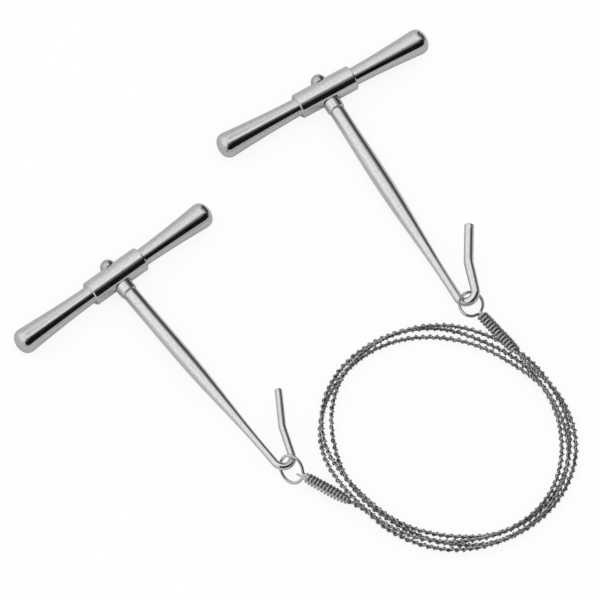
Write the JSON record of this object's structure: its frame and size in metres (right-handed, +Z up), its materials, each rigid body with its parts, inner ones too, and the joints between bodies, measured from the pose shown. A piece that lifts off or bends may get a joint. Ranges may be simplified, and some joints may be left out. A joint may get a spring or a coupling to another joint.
{
  "type": "gigli saw",
  "caption": "Surgical wire saw: a coiled, twisted steel cutting wire with an eye at each end, hooked onto two T-handles with swivelling crossbars.",
  "frame": {"origin": "middle of the two handles as they lie, at table height", "axes": "+Z up from the table, +Y from the coil towards the crossbar of handle a, +X towards the coil's right side"},
  "size_m": [0.1857, 0.1872, 0.0088],
  "materials": {
    "grip": "satin turned steel with fine marks along the grip",
    "sleeve": "satin turned steel",
    "screw": "polished steel",
    "collar": "polished steel",
    "shaft": "satin ground steel",
    "eye": "bright drawn wire",
    "whipping": "dark drawn wire, tightly wound",
    "saw_wire": "dark steel strand with bright cut teeth"
  },
  "bodies": {
    "saw": {"saw_wire": "saw_wire", "eye_loop_a": "eye", "whipping_a": "whipping", "eye_loop_b": "eye", "whipping_b": "whipping"},
    "hook_a": {"hook_shaft_a": "shaft", "swivel_collar_a": "collar", "pivot_screw_a": "screw"},
    "bar_a": {"sleeve_a": "sleeve", "grip_left_a": "grip", "grip_right_a": "grip"},
    "hook_b": {"hook_shaft_b": "shaft", "swivel_collar_b": "collar", "pivot_screw_b": "screw"},
    "bar_b": {"sleeve_b": "sleeve", "grip_left_b": "grip", "grip_right_b": "grip"}
  },
  "joints": [
    {"name": "hook_a_swing", "type": "hinge", "parent": "saw", "child": "hook_a", "pos_m": [0.07239, -0.01435, 0.00274], "axis": [0, 0, 1], "range_deg": [-8, 8]},
    {"name": "bar_a_swivel", "type": "hinge", "parent": "hook_a", "child": "bar_a", "pos_m": [0.0259, 0.0577, 0.00435], "axis": [0.5118, -0.8586, -0.0303], "continuous": true},
    {"name": "hook_b_swing", "type": "hinge", "parent": "saw", "child": "hook_b", "pos_m": [0.01194, -0.07467, 0.00475], "axis": [0, 0, 1], "range_deg": [-10, 10]},
    {"name": "bar_b_swivel", "type": "hinge", "parent": "hook_b", "child": "bar_b", "pos_m": [-0.0432, -0.00925, 0.00435], "axis": [0.6156, -0.788, 0.0099], "continuous": true}
  ]
}
